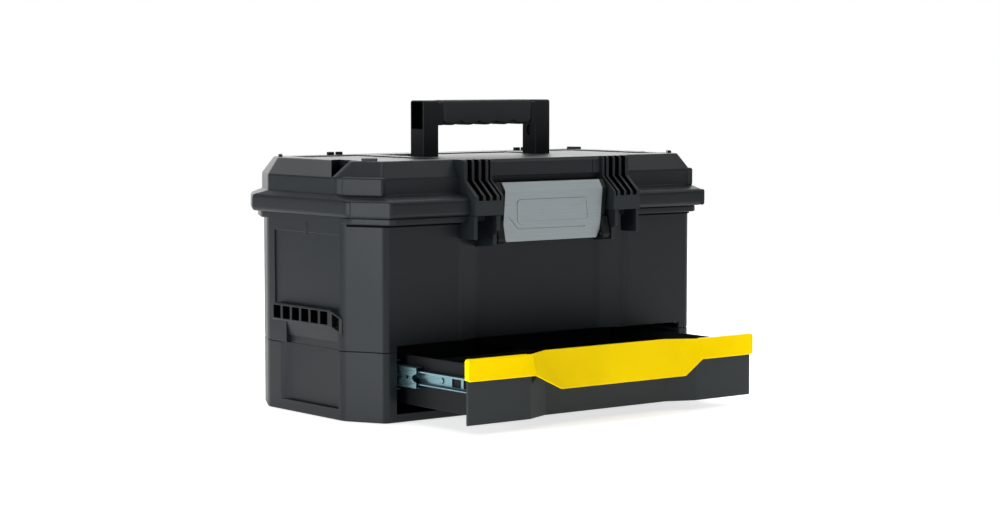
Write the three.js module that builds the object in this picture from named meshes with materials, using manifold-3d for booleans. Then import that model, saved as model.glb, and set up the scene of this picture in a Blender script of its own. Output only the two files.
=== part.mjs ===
// Toolbox with a full-width drawer: a lidded bin on a drawer housing, one front latch, a folding
// carry handle, a drawer on telescopic ball slides and a lift-out tray under the lid.
// Millimetres, +Z up, origin at the bottom centre of the housing, front towards -Y.
import * as THREE from "three";
import { ConvexGeometry } from "three/addons/geometries/ConvexGeometry.js";
import { mergeVertices } from "three/addons/utils/BufferGeometryUtils.js";
import Module from "manifold-3d";

// ---- Driving dimensions -------------------------------------------------------------------------
const BODY = { halfX: 232.7, halfY: 115, chamferX: 24, chamferY: 44 };
const WALL = 3;
const GAP = 0.3;
const PARTING_Z = 72.9;
const RIM_Z = 210.7;
const LIP = { halfX: 232.7, halfY: 127, z: 203.9 };
const DRAWER_BAY = { halfX: 195, z0: 9, z1: 79.4 };
const RECESS = { outerX: 113, innerX: 83, depth: 12 };

const FLANGE = { halfX: 240.5, halfY: 132.2, chamferX: 26, chamferY: 44, z0: 211, z1: 228.5, z2: 234 };
const DOME = { halfX: 235.5, halfY: 113, chamferX: 23.5, chamferY: 49, shoulderZ: 251 };
const CROWN = { halfX: 218, halfY: 101.8, chamferX: 14, chamferY: 31.8, z: 268.6 };
const LID_HINGE = { y: 138, z: 207, barrelR: 5, centreX: 131, armHalfX: 15 };

const HANDLE = { halfX: 88, legX: 20.5, y: -4, depth: 24, pivotZ: 262, barZ: 302, topZ: 329, pinR: 3 };
const GRIP_HALF_X = 61;
const GRIP_CORE = 6;
const LATCH = { pivotY: -128, pivotZ: 184.7, barrelR: 5, halfX: 74.5, plateHalfX: 67, topZ: 244 };

const DRAWER_OPEN = 117;
const DRAWER = { halfX: 181, z0: 18, z1: 69.5, backY: 104, wall: 2.5 };
const FASCIA = { halfX: 193, y: -114.6, z0: 9.8, z1: 73.5, depth: 13 };
const PULL = { halfX: 194.5, y: -118, z0: 54, z1: 76.5, topY: -101, lipY: -131, lipZ: 40, thick: 3 };
const PULL_TURN = { topX: 82, lipX: 85, roomX: 110, x: 114, topY: -119.6, lowY: -125.5, lowZ: 55 };
const SLIDE_Z = 48.7;
const TRAY = { halfX: 214, halfY: 95, z0: 158, z1: 206, wall: 2.2, rim: 2.4 };

// Bores for the pivots, and the screws with the posts that they go into.
const BORE = { hinge: 2.8, latch: 2.3, handle: 3.3, slideScrew: 1.9 };
const HINGE_PIN_R = 2.5;
const LATCH_PIN_R = 2;
const SCREW_POST = { x: 212, y: 62, binR: 5, housingR: 6, wellR: 4, threadR: 2.1, seat: 14 };
const OUTER_SCREWS = [-101, 93];
const INNER_SCREWS = [-58, 70];

// Slide members and ball cages: distance of web and flange edge from the middle, half height, sheet
// thickness and the two ends.
const SLIDE_OUTER = { web: 194.2, flange: 184.5, half: 15.5, thick: 1.2, y: [-106, 100] };
const SLIDE_MIDDLE = { web: 191.6, flange: 184, half: 11, thick: 1, y: [-86, 99] };
const SLIDE_INNER = { web: 181.4, flange: 188.9, half: 7, thick: 1.1, y: [-111, 94] };
const CAGE_OUTER = { web: 192.6, flange: 185.2, half: 12.85, thick: 0.5, y: [-50, 40], ballR: 1.4 };
const CAGE_INNER = { web: 190, flange: 184.6, half: 8.75, thick: 0.5, y: [-35, 40], ballR: 1.25 };

const MATERIALS = {
  shell: material("#3b3f43", 0.55, 0),
  darkShell: material("#26292b", 0.55, 0),
  soft: material("#1b1d1f", 0.8, 0),
  pull: material("#fdda08", 0.45, 0),
  plate: material("#8c9296", 0.4, 0.7),
  zinc: material("#9fb6bd", 0.35, 0.9),
};

// ---- Small tools --------------------------------------------------------------------------------
const wasm = await Module();
wasm.setup();

function material(color, roughness, metalness) {
  return new THREE.MeshStandardMaterial({ color, roughness, metalness });
}

// A closed three.js geometry as a solid that can be cut and joined.
function solid(geometry) {
  const bare = geometry.clone();
  bare.deleteAttribute("normal");
  bare.deleteAttribute("uv");
  const merged = mergeVertices(bare, 1e-4);
  return new wasm.Manifold(
    new wasm.Mesh({
      numProp: 3,
      vertProperties: merged.attributes.position.array,
      triVerts: new Uint32Array(merged.index.array),
    }),
  );
}

function geometryOf(body) {
  const mesh = body.getMesh();
  const geometry = new THREE.BufferGeometry();
  geometry.setAttribute("position", new THREE.BufferAttribute(mesh.vertProperties, 3));
  geometry.setIndex(new THREE.BufferAttribute(mesh.triVerts, 1));
  geometry.computeVertexNormals();
  return geometry;
}

const join = (...bodies) => bodies.reduce((a, b) => a.add(b));
const cut = (body, ...tools) => tools.reduce((a, b) => a.subtract(b), body);

// A block between two values on each axis, in either order.
function block(x, y, z) {
  const size = [x, y, z].map(([a, b]) => Math.abs(b - a));
  const mid = [x, y, z].map(([a, b]) => (a + b) / 2);
  return solid(new THREE.BoxGeometry(...size).translate(...mid));
}

function extrude(points, depth) {
  const shape = new THREE.Shape(points.map(([a, b]) => new THREE.Vector2(a, b)));
  return new THREE.ExtrudeGeometry(shape, { depth, bevelEnabled: false });
}

// An outline of [x, y] points raised from z0 to z1.
function prism(points, z0, z1) {
  return solid(extrude(points, z1 - z0).translate(0, 0, z0));
}

// A profile of [y, z] points running along X.
function alongX(points, x0, x1) {
  const turn = new THREE.Matrix4().set(0, 0, 1, Math.min(x0, x1), 1, 0, 0, 0, 0, 1, 0, 0, 0, 0, 0, 1);
  return solid(extrude(points, Math.abs(x1 - x0)).applyMatrix4(turn));
}

// A profile of [x, z] points running along Y.
function alongY(points, y0, y1) {
  const turn = new THREE.Matrix4().set(1, 0, 0, 0, 0, 0, -1, Math.max(y0, y1), 0, 1, 0, 0, 0, 0, 0, 1);
  return solid(extrude(points, Math.abs(y1 - y0)).applyMatrix4(turn));
}

// The convex body around a set of [x, y, z] points.
function hull(points) {
  return solid(new ConvexGeometry(points.map((p) => new THREE.Vector3(...p))));
}

function rod(axis, radius, from, to, [a, b], sides = 16) {
  const geometry = new THREE.CylinderGeometry(radius, radius, Math.abs(to - from), sides);
  const mid = (from + to) / 2;
  if (axis === "x") geometry.rotateZ(Math.PI / 2).translate(mid, a, b);
  if (axis === "y") geometry.translate(a, mid, b);
  if (axis === "z") geometry.rotateX(Math.PI / 2).translate(a, b, mid);
  return solid(geometry);
}

// An eight-sided outline, moved inwards all round by inset.
function octagon({ halfX, halfY, chamferX, chamferY }, inset = 0) {
  const slack = Math.hypot(chamferX, chamferY) - chamferX - chamferY;
  const x = halfX - inset;
  const y = halfY - inset;
  const cx = chamferX + (inset * slack) / chamferY;
  const cy = chamferY + (inset * slack) / chamferX;
  return [
    [-x + cx, -y],
    [x - cx, -y],
    [x, -y + cy],
    [x, y - cy],
    [x - cx, y],
    [-x + cx, y],
    [-x, y - cy],
    [-x, -y + cy],
  ];
}

const at = (points, z) => points.map(([x, y]) => [x, y, z]);

// The body's plan: an octagon whose front wall steps back between the latch brackets.
function bodyPlan(inset) {
  const plan = octagon(BODY, inset);
  const front = -BODY.halfY + inset;
  const step = [
    [-RECESS.outerX, front],
    [-RECESS.innerX, front + RECESS.depth],
    [RECESS.innerX, front + RECESS.depth],
    [RECESS.outerX, front],
  ];
  return [plan[0], ...step, ...plan.slice(1)];
}

function named(name, body, look) {
  const mesh = new THREE.Mesh(geometryOf(body), MATERIALS[look]);
  mesh.name = name;
  return mesh;
}

const SIDES = { left: -1, right: 1 };

// ---- Bin ----------------------------------------------------------------------------------------
const GRIP = { y0: -59, y1: 51, z0: 97, z1: 115, proud: 7.8, endY: -70.5, drop: 8.5 };
const CORES = { count: 6, rib: 3.9, skin: 2.5 };
const GRIP_FACE_X = BODY.halfX + GRIP.proud;
const FINGER_BAND = { y0: -63, y1: 34, z: 81, slope: 3.2, depth: 5, back: 9 };
const UPPER_PANEL = { y0: -66, y1: 56, z1: 192, depth: 1.5 };
const TRAY_LEDGE = { x: 218, halfY: 50, z: 197 };
const HINGE_EARS = [[107, 115.5], [146.5, 155]];
const BRACKET = { plateX: [109, 113], columnX: [79, 84], frontY: -139, capY: -119, capZ: 204 };
const BRACKET_FOOT = { plateZ: 186, wallZ: 176, pivotZ: 179, stepZ: 190, frontZ: 195 };

// The carrying ledge on one end wall, with its row of cored squares and its front end, which slopes
// down and runs out into the wall.
function gripLedge(side) {
  const inside = side * (BODY.halfX - 5);
  const face = side * GRIP_FACE_X;
  const runOut = side * (BODY.halfX + 0.2);
  const [low, high] = [GRIP.z0 + CORES.skin, GRIP.z1 - CORES.skin];
  const front = hull([
    ...[GRIP.z0, GRIP.z1].flatMap((z) => [[inside, GRIP.y0, z], [face, GRIP.y0, z]]),
    ...[GRIP.z0, GRIP.z1].flatMap((z) => [inside, runOut].map((x) => [x, GRIP.endY, z - GRIP.drop])),
  ]);
  let ledge = join(block([inside, face], [GRIP.y0, GRIP.y1], [GRIP.z0, GRIP.z1]), front);
  const depth = [side * BODY.halfX, side * (GRIP_FACE_X + 1)];
  const pitch = (GRIP.y1 - GRIP.y0 - CORES.rib) / CORES.count;
  for (let i = 0; i < CORES.count; i++) {
    const y = GRIP.y0 + CORES.rib + i * pitch;
    ledge = cut(ledge, block(depth, [y, y + pitch - CORES.rib], [low, high]));
  }
  const slope = GRIP.drop / (GRIP.y0 - GRIP.endY);
  const [mouthY, mouthEnd] = [GRIP.y0 - CORES.rib / 2, GRIP.endY + CORES.skin];
  const slanted = [
    [mouthY, high - (GRIP.y0 - mouthY) * slope],
    [mouthEnd, high - (GRIP.y0 - mouthEnd) * slope],
    [mouthEnd, low - (GRIP.y0 - mouthEnd) * slope],
    [mouthY, low - (GRIP.y0 - mouthY) * slope],
  ];
  return cut(ledge, alongX(slanted, ...depth));
}

function hingeEar(side, x0, x1) {
  const { y, z, barrelR } = LID_HINGE;
  const neck = [
    [BODY.halfY - 1, z - 22],
    [BODY.halfY - 1, z - 4],
    [y, z],
    [y + barrelR * 0.7, z - barrelR * 0.7],
  ];
  return join(alongX(neck, side * x0, side * x1), rod("x", barrelR, side * x0, side * x1, [y, z]));
}

// The two walls beside the latch that carry its pivot.
function latchBracket(side) {
  const { plateX, columnX, frontY, capY, capZ } = BRACKET;
  const { plateZ, wallZ, pivotZ, stepZ, frontZ } = BRACKET_FOOT;
  const pivotFrontY = LATCH.pivotY - LATCH.barrelR;
  const wallY = -BODY.halfY + RECESS.depth;
  const across = ([a, b]) => [side * a, side * b];
  const plate = block(across(plateX), [-BODY.halfY + 1, frontY], [plateZ, RIM_Z]);
  const column = [
    [wallY + 1, wallZ],
    [pivotFrontY, pivotZ],
    [pivotFrontY, stepZ],
    [frontY, frontZ],
    [frontY, RIM_Z],
    [wallY + 1, RIM_Z],
  ];
  const cap = block(across([columnX[0], plateX[1]]), [wallY, capY], [capZ, RIM_Z]);
  return join(plate, alongX(column, ...across(columnX)), cap);
}

// The shell with a screw boss hanging from its underside, and the pilot hole in it.
function withPost(shell, side, y, top) {
  const { x, binR, threadR } = SCREW_POST;
  const place = [side * x, y];
  const post = rod("z", binR, PARTING_Z + 0.2, top, place, 12);
  return cut(join(shell, post), rod("z", threadR, PARTING_Z - 1, top, place, 10));
}

function binShell() {
  const plan = bodyPlan(0);
  const inside = bodyPlan(WALL);
  const floor = DRAWER_BAY.z1 + WALL;
  const lip = octagon({ ...BODY, halfX: LIP.halfX, halfY: LIP.halfY });
  const lipRing = cut(
    prism(lip, LIP.z, RIM_Z),
    prism(bodyPlan(1), LIP.z - 1, RIM_Z + 1),
    block([-RECESS.outerX, RECESS.outerX], [-LIP.halfY - 1, -BODY.halfY - 0.01], [LIP.z - 1, RIM_Z + 1]),
  );
  let shell = join(prism(plan, PARTING_Z, RIM_Z), lipRing);
  shell = cut(shell, prism(inside, floor, RIM_Z + 1), prism(inside, PARTING_Z - 1, DRAWER_BAY.z1));
  const bay = DRAWER_BAY.halfX;
  shell = cut(shell, block([-bay, bay], [-BODY.halfY - 1, 0], [PARTING_Z - 1, DRAWER_BAY.z1]));
  for (const side of [-1, 1]) {
    const x = side * BODY.halfX;
    const behind = [side * (BODY.halfX - FINGER_BAND.back), x - side];
    const ledge = [x - side, side * TRAY_LEDGE.x];
    const ledgeZ = [TRAY_LEDGE.z, TRAY.z1 - TRAY.rim - GAP];
    shell = join(
      shell,
      latchBracket(side),
      gripLedge(side),
      block(behind, [FINGER_BAND.y0 - WALL, FINGER_BAND.y1 + WALL], [PARTING_Z, GRIP.z0 + 4]),
      block(ledge, [-TRAY_LEDGE.halfY, TRAY_LEDGE.halfY], ledgeZ),
      ...HINGE_EARS.map((ends) => hingeEar(side, ...ends)),
    );
    const fingers = [
      [x + side, GRIP.z0],
      [x, GRIP.z0],
      [x - side * FINGER_BAND.slope, FINGER_BAND.z],
      [x - side * FINGER_BAND.depth, FINGER_BAND.z],
      [x - side * FINGER_BAND.depth, PARTING_Z - 1],
      [x + side, PARTING_Z - 1],
    ];
    const panelX = [x + side, x - side * UPPER_PANEL.depth];
    const [earIn, earOut] = [HINGE_EARS[0][0] - 1, HINGE_EARS[1][1] + 1];
    const [columnIn, columnOut] = [BRACKET.columnX[0] - 1, BRACKET.columnX[1] + 1];
    shell = cut(
      shell,
      alongY(fingers, FINGER_BAND.y0, FINGER_BAND.y1),
      block(panelX, [UPPER_PANEL.y0, UPPER_PANEL.y1], [GRIP.z1, UPPER_PANEL.z1]),
      rod("x", BORE.hinge, side * earIn, side * earOut, [LID_HINGE.y, LID_HINGE.z], 12),
      rod("x", BORE.latch, side * columnIn, side * columnOut, [LATCH.pivotY, LATCH.pivotZ], 12),
    );
    for (const y of [-SCREW_POST.y, SCREW_POST.y]) {
      shell = withPost(shell, side, y, floor - 1);
    }
  }
  return shell;
}

// ---- Drawer housing -----------------------------------------------------------------------------
const TUNNEL_WALL = 2.5;
const LOWER_PANEL = { y0: -63, y1: 45, turnY: 28, z0: 12, depth: 5, back: 8.5 };

function drawerHousing() {
  const top = PARTING_Z - GAP;
  const bay = DRAWER_BAY.halfX;
  const plan = octagon(BODY);
  let shell = cut(prism(plan, 0, top), prism(octagon(BODY, WALL), WALL, top + 1));
  const mouth = [-BODY.halfY - 1, -BODY.halfY + WALL + 1];
  shell = cut(shell, block([-bay, bay], mouth, [DRAWER_BAY.z0, top + 1]));
  for (const side of [-1, 1]) {
    const x = side * BODY.halfX;
    const { y0, y1, turnY, z0, depth, back } = LOWER_PANEL;
    const tunnel = [side * bay, side * (bay + TUNNEL_WALL)];
    const behind = [side * (BODY.halfX - back), x - side];
    shell = join(
      shell,
      block(tunnel, [-BODY.halfY + 1, BODY.halfY - 1], [1, top]),
      block(behind, [y0 - WALL - 1, y1 + 5], [1, top]),
    );
    const panel = [
      [x + side, y0],
      [x + side, y1],
      [x, y1],
      [x - side * depth, turnY],
      [x - side * depth, y0],
    ];
    shell = cut(shell, prism(panel, z0, top + 1));
    for (const y of [-SCREW_POST.y, SCREW_POST.y]) {
      const { x: postX, housingR, wellR, threadR, seat } = SCREW_POST;
      const place = [side * postX, y];
      const well = rod("z", wellR, -1, top - seat, place, 12);
      const thread = rod("z", threadR, 0, top + 1, place, 10);
      shell = cut(join(shell, rod("z", housingR, 1, top, place, 12)), well, thread);
    }
    for (const y of OUTER_SCREWS) {
      shell = cut(shell, slideScrewHole(side, bay - 5, bay + 5, y));
    }
  }
  return shell;
}

// The screw that holds the housing to the bin: its head seats at the top of the post's well.
function housingScrew(place) {
  const head = { r: 3.6, z: PARTING_Z - GAP - SCREW_POST.seat - GAP, thick: 2.4 };
  const shank = { r: 1.8, length: 22 };
  return join(
    rod("z", head.r, head.z - head.thick, head.z, place, 12),
    rod("z", shank.r, head.z - 1, head.z + shank.length, place, 8),
  );
}

// ---- Telescopic slides --------------------------------------------------------------------------
function slideScrewHole(side, x0, x1, y) {
  return rod("x", BORE.slideScrew, side * x0, side * x1, [y, SLIDE_Z], 10);
}

// A channel section: a web with a flange at top and bottom, opening towards or away from the drawer.
function channel(side, { web, flange, half, thick, y }) {
  const inward = Math.sign(flange - web) * thick;
  const points = [
    [web, -half],
    [flange, -half],
    [flange, -half + thick],
    [web + inward, -half + thick],
    [web + inward, half - thick],
    [flange, half - thick],
    [flange, half],
    [web, half],
  ];
  return alongY(points.map(([x, z]) => [side * x, SLIDE_Z + z]), ...y);
}

function slideMember(side, member, screws = []) {
  const holes = screws.map((y) => slideScrewHole(side, member.web - 4, member.web + 4, y));
  return cut(channel(side, member), ...holes);
}

// A thin cage that keeps two rows of steel balls between two slide members.
function ballCage(side, member) {
  const { flange, half, thick, ballR } = member;
  const [y0, y1] = member.y;
  const endGap = 5;
  const pitch = (y1 - y0 - 2 * endGap) / 2;
  let cage = channel(side, member);
  for (const row of [-1, 1]) {
    for (let y = y0 + endGap; y < y1; y += pitch) {
      const ball = new THREE.SphereGeometry(ballR, 8, 6);
      const z = SLIDE_Z + row * (half - thick / 2);
      cage = join(cage, solid(ball.translate(side * (flange + 2.6), y, z)));
    }
  }
  return cage;
}

function slideScrew(side, y, headX, tipX) {
  const head = { r: 3.2, thick: 1.1 };
  const under = headX + Math.sign(tipX - headX) * head.thick;
  const shank = rod("x", 1.6, side * under, side * tipX, [y, SLIDE_Z], 8);
  return join(rod("x", head.r, side * headX, side * under, [y, SLIDE_Z], 12), shank);
}

// ---- Drawer -------------------------------------------------------------------------------------
function drawerPlan(halfX, front, depth, back) {
  return [
    [-halfX, front],
    [-RECESS.outerX, front],
    [-RECESS.innerX, front + depth],
    [RECESS.innerX, front + depth],
    [RECESS.outerX, front],
    [halfX, front],
    [halfX, back],
    [-halfX, back],
  ];
}

function drawerTub() {
  const { halfX, z0, z1, backY, wall } = DRAWER;
  const front = FASCIA.y + WALL + GAP;
  const outside = prism(drawerPlan(halfX, front, FASCIA.depth, backY), z0, z1);
  const inside = drawerPlan(halfX - wall, front + wall, FASCIA.depth, backY - wall);
  let tub = cut(outside, prism(inside, z0 + wall, z1 + 1));
  for (const side of [-1, 1]) {
    for (const y of INNER_SCREWS) {
      tub = cut(tub, slideScrewHole(side, halfX - 8, halfX + 4, y));
    }
  }
  return tub;
}

// The pull trim: wings that lean forward towards a sloping centre, which ends in a finger lip.
function pullTrim(thick) {
  const { halfX, y, z0, z1, topY, lipY, lipZ } = PULL;
  const panel = (corners) => hull(corners.flatMap(([a, b, c]) => [[a, b, c], [a, b + thick, c]]));
  const { topX, lipX, x, topY: turnTopY, lowY, lowZ } = PULL_TURN;
  let trim = panel([[-topX, topY, z1], [topX, topY, z1], [lipX, lipY, lipZ], [-lipX, lipY, lipZ]]);
  for (const side of [-1, 1]) {
    const kink = [[side * x, lowY, lowZ], [side * x, turnTopY, z1]];
    const turn = panel([[side * topX, topY, z1], [side * lipX, lipY, lipZ], ...kink]);
    const wing = panel([...kink, [side * halfX, y, z0], [side * halfX, y, z1]]);
    trim = join(trim, turn, wing);
  }
  return trim;
}

function drawerPull() {
  const capX = PULL_TURN.x + 2;
  const backY = FASCIA.y + WALL;
  let pull = pullTrim(PULL.thick);
  for (const side of [-1, 1]) {
    const cap = block([side * capX, side * PULL.halfX], [PULL.y + 1, backY], [FASCIA.z1 + GAP, PULL.z1]);
    const endX = [side * (FASCIA.halfX + GAP), side * PULL.halfX];
    pull = join(pull, cap, block(endX, [PULL.y + 1, backY], [PULL.z0, PULL.z1]));
  }
  return pull;
}

function drawerFascia() {
  const { halfX, y, z0, z1, depth } = FASCIA;
  const back = y + depth + WALL;
  const outline = drawerPlan(halfX, y, depth, back);
  const behind = drawerPlan(halfX + 1, y + WALL, depth, back + 1);
  const above = PULL.z1 + 1;
  const fingerRoom = [-PULL_TURN.roomX, PULL_TURN.roomX].flatMap((x) => [
    [x, y - 20, above],
    [x, y - 20, PULL.lipZ],
    [x, y + depth + 8, above],
    [x, y - 2, PULL.lipZ],
  ]);
  const front = cut(prism(outline, z0, z1), prism(behind, z0 - 1, z1 + 1));
  return cut(front, pullTrim(PULL.thick + GAP), hull(fingerRoom));
}

const DIVIDER_TOP = 63;

function drawerDivider(x0, x1, y0, y1) {
  return block([x0, x1], [y0, y1], [DRAWER.z0 + DRAWER.wall + GAP, DIVIDER_TOP]);
}

// ---- Lid ----------------------------------------------------------------------------------------
const RIB_BLOCK = { x0: 76, x1: 113, slots: [105.7, 96.7, 87.7], slotX: 5.6 };
const POCKET = [[235.6, -57], [218, -31], [208, -31], [208, -67], [218, -65]];
const FRONT_GUARD = { proud: 3, start: 8, over: 2, z: [232.3, 252] };
const FLANGE_GUARD = { proud: 1.5, start: 5.5, over: 1, z: [211.5, 229] };
const TAB_TOP_Z = 271.6;
const REAR_TAB = { halfX: 9.5, y: [89, 93] };
const TOP_PANEL = { x: [110, 196], halfY: 78, depth: 1.2 };
const WELL = { halfX: 89.5, y0: -17, y1: 64.5, floorZ: 249, legX: 23.5, barY: 34.5 };

// The slotted block beside the latch: upright, then sloping forward to the flange.
function ribBlock(side) {
  const outline = [
    [-108, FLANGE.z0],
    [-140.5, FLANGE.z0],
    [-140.5, 231],
    [-121.5, 247],
    [-121.5, 266.5],
    [-119.5, CROWN.z],
    [-100, CROWN.z],
    [-100, CROWN.z - WALL],
    [-108, DOME.shoulderZ],
  ];
  let body = alongX(outline, side * RIB_BLOCK.x0, side * RIB_BLOCK.x1);
  const slot = [
    [-150, 226.5],
    [-141, 226.5],
    [-113.5, 245],
    [-113.5, 275],
    [-150, 275],
  ];
  for (const x of RIB_BLOCK.slots) {
    body = cut(body, alongX(slot, side * (x - RIB_BLOCK.slotX / 2), side * (x + RIB_BLOCK.slotX / 2)));
  }
  return body;
}

// A pad standing proud of a front corner's cut, from start past its outer end to over past its other.
function cornerPad(side, plan, { proud, start, over, z }) {
  const { halfX, halfY, chamferX, chamferY } = plan;
  const length = Math.hypot(chamferX, chamferY);
  const along = [-chamferX / length, chamferY / length];
  const point = (distance, out) => [
    side * (halfX + along[0] * distance + along[1] * out),
    -(halfY - chamferY + along[1] * distance - along[0] * out),
  ];
  const sunk = -1.6 * proud;
  const corners = [start, length + over].flatMap((d) => [point(d, proud), point(d, sunk)]);
  return hull(z.flatMap((level) => corners.map(([x, y]) => [x, y, level])));
}

// The small stacking tab on top of a corner.
function cornerTab(side, end) {
  const foot = [[213, 78], [203, 92], [200, 89], [210, 75]];
  return hull([CROWN.z - 3, TAB_TOP_Z].flatMap((z) => foot.map(([x, y]) => [side * x, end * y, z])));
}

// The well in which the folded handle lies.
function handleWell(grow, floor) {
  const { halfX, y0, y1, legX, barY } = WELL;
  const z = [floor, CROWN.z + 1];
  let well = block([-halfX - grow, halfX + grow], [barY - grow, y1 + grow], z);
  for (const side of [-1, 1]) {
    const x = [side * (halfX + grow), side * (halfX - legX - grow)];
    well = join(well, block(x, [y0 - grow, y1], z));
  }
  return well;
}

// The hollow under the lid, which also bounds the walls that are added inside it.
function lidHollow() {
  const top = hull([
    ...at(octagon(DOME, WALL), DOME.shoulderZ - 1),
    ...at(octagon(CROWN, WALL), CROWN.z - WALL),
  ]);
  return join(top, prism(octagon(DOME, WALL), FLANGE.z0 - 1, DOME.shoulderZ - 1));
}

function lidShell() {
  const { y: hingeY, z: hingeZ, barrelR, centreX, armHalfX } = LID_HINGE;
  const flange = octagon(FLANGE);
  const dome = octagon(DOME);
  const crown = octagon(CROWN);
  let lid = join(
    prism(flange, FLANGE.z0, FLANGE.z1),
    hull([...at(flange, FLANGE.z1), ...at(dome, FLANGE.z2)]),
    prism(dome, FLANGE.z0, DOME.shoulderZ),
    hull([...at(dome, DOME.shoulderZ), ...at(crown, CROWN.z)]),
  );
  const nose = [
    [-100, DOME.shoulderZ],
    [-118, DOME.shoulderZ],
    [-118, 265],
    [-115, CROWN.z],
    [-100, CROWN.z],
  ];
  const front = block([-RIB_BLOCK.x0, RIB_BLOCK.x0], [-200, -DOME.halfY], [FLANGE.z0 - 1, DOME.shoulderZ]);
  lid = join(cut(lid, front), alongX(nose, -RIB_BLOCK.x0 - 1, RIB_BLOCK.x0 + 1));
  const hollow = lidHollow();
  lid = cut(lid, hollow);
  lid = join(lid, hollow.intersect(handleWell(WALL, WELL.floorZ - WALL)));
  for (const side of [-1, 1]) {
    const around = block([side * 240, side * 205], [-70, -28], [DOME.shoulderZ - WALL, CROWN.z]);
    lid = join(lid, hollow.intersect(around));
    const pocket = POCKET.map(([x, y]) => [side * x, y]);
    lid = cut(lid, prism(pocket, DOME.shoulderZ, CROWN.z + 1));
    for (const end of [-1, 1]) {
      lid = join(lid, cornerTab(side, end));
    }
    lid = join(lid, cornerPad(side, DOME, FRONT_GUARD), cornerPad(side, FLANGE, FLANGE_GUARD));
    lid = join(lid, ribBlock(side));
    const rootY = hingeY - 12;
    const arm = [
      [rootY, FLANGE.z0 + 1],
      [hingeY, hingeZ - barrelR * 0.6],
      [hingeY + barrelR, hingeZ],
      [hingeY - 4, FLANGE.z1 - 2],
      [rootY, FLANGE.z1],
    ];
    const x = [side * (centreX - armHalfX), side * (centreX + armHalfX)];
    lid = join(lid, alongX(arm, ...x), rod("x", barrelR, ...x, [hingeY, hingeZ]));
    lid = cut(lid, rod("x", BORE.hinge, side * 110, side * 150, [hingeY, hingeZ], 12));
    const tab = [side * (centreX - REAR_TAB.halfX), side * (centreX + REAR_TAB.halfX)];
    lid = join(lid, block(tab, REAR_TAB.y, [CROWN.z - 1, TAB_TOP_Z]));
    const panelX = TOP_PANEL.x.map((x) => side * x);
    const panelY = [-TOP_PANEL.halfY, TOP_PANEL.halfY];
    lid = cut(lid, block(panelX, panelY, [CROWN.z - TOP_PANEL.depth, CROWN.z + 1]));
  }
  lid = cut(lid, handleWell(0, WELL.floorZ));
  for (const side of [-1, 1]) {
    lid = cut(lid, rod("x", BORE.handle, side * 62, side * 94, [HANDLE.y, HANDLE.pivotZ], 12));
  }
  return lid;
}

// ---- Handle -------------------------------------------------------------------------------------
// Points on an arc about a centre, from one angle to another in degrees.
function arc([a, b], radius, from, to, steps) {
  const turn = (i) => THREE.MathUtils.degToRad(from + ((to - from) * i) / steps);
  const points = [];
  for (let i = 0; i <= steps; i++) {
    points.push([a + radius * Math.cos(turn(i)), b + radius * Math.sin(turn(i))]);
  }
  return points;
}

// Height range of the bar inside the grip.
const coreZ = (grow) => [HANDLE.barZ + GRIP_CORE - grow, HANDLE.topZ - GRIP_CORE + grow];

function handleFrame() {
  const { halfX, legX, y, depth, pivotZ, barZ, topZ } = HANDLE;
  const half = depth / 2;
  const round = 3;
  const recessZ = 298;
  const side = [
    ...arc([y, pivotZ], half, 180, 360, 8),
    ...arc([y + half - round, topZ - round], round, 0, 90, 2),
    ...arc([y - half + round, topZ - round], round, 90, 180, 2),
  ];
  const ends = [-GRIP_HALF_X - GAP, GRIP_HALF_X + GAP];
  const core = block(ends.map((x) => x * 1.02), [y - GRIP_CORE, y + GRIP_CORE], coreZ(0));
  let frame = core;
  for (const s of [-1, 1]) {
    const leg = alongX(side, s * (halfX - legX), s * halfX);
    const stub = alongX(side, s * (GRIP_HALF_X + GAP), s * (halfX - legX + 1));
    const above = block([-halfX, halfX], [y - half - 1, y + half + 1], [barZ, topZ + 1]);
    frame = join(frame, leg, stub.intersect(above));
    const recessX = [s * (halfX - 3), s * (halfX + 1)];
    const recess = block(recessX, [y - half + 2, y + half - 2], [recessZ, topZ - 2.5]);
    const boreX = [s * (halfX - legX - 5), s * (halfX + 5)];
    frame = cut(frame, recess, rod("x", BORE.handle, ...boreX, [y, pivotZ], 12));
  }
  return frame;
}

// The soft sleeve around the bar, with finger hollows along its underside.
function handleGrip() {
  const { halfX, y, depth, barZ, topZ } = HANDLE;
  const half = depth / 2;
  const fingers = 5;
  const pitch = (2 * GRIP_HALF_X) / fingers;
  const notch = 2.4;
  const lower = [];
  for (let i = 0; i < fingers; i++) {
    const mid = -GRIP_HALF_X + (i + 0.5) * pitch;
    for (const t of [-0.5, -0.3, 0, 0.3]) {
      lower.push([mid + t * pitch, barZ + notch * 4 * t * t]);
    }
  }
  lower.push([GRIP_HALF_X, barZ + notch]);
  const outline = [...lower, [GRIP_HALF_X, topZ + 0.2], [-GRIP_HALF_X, topZ + 0.2]];
  const reach = 0.4;
  const sleeve = alongY(outline, y - half - reach, y + half + reach);
  const round = 4;
  const corners = [
    ...arc([y - half - reach + round, topZ - round], round, 90, 180, 3),
    ...arc([y - half - reach + round, barZ + round], round, 180, 270, 3),
    ...arc([y + half + reach - round, barZ + round], round, 270, 360, 3),
    ...arc([y + half + reach - round, topZ - round], round, 0, 90, 3),
  ];
  const bore = [y - GRIP_CORE - GAP, y + GRIP_CORE + GAP];
  const rounded = sleeve.intersect(alongX(corners, -GRIP_HALF_X, GRIP_HALF_X));
  return cut(rounded, block([-halfX, halfX], bore, coreZ(GAP)));
}

function handlePin(side) {
  const { halfX, legX, y, pivotZ, pinR } = HANDLE;
  return rod("x", pinR, side * (halfX - legX - 4), side * (halfX + 4), [y, pivotZ], 12);
}

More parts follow.
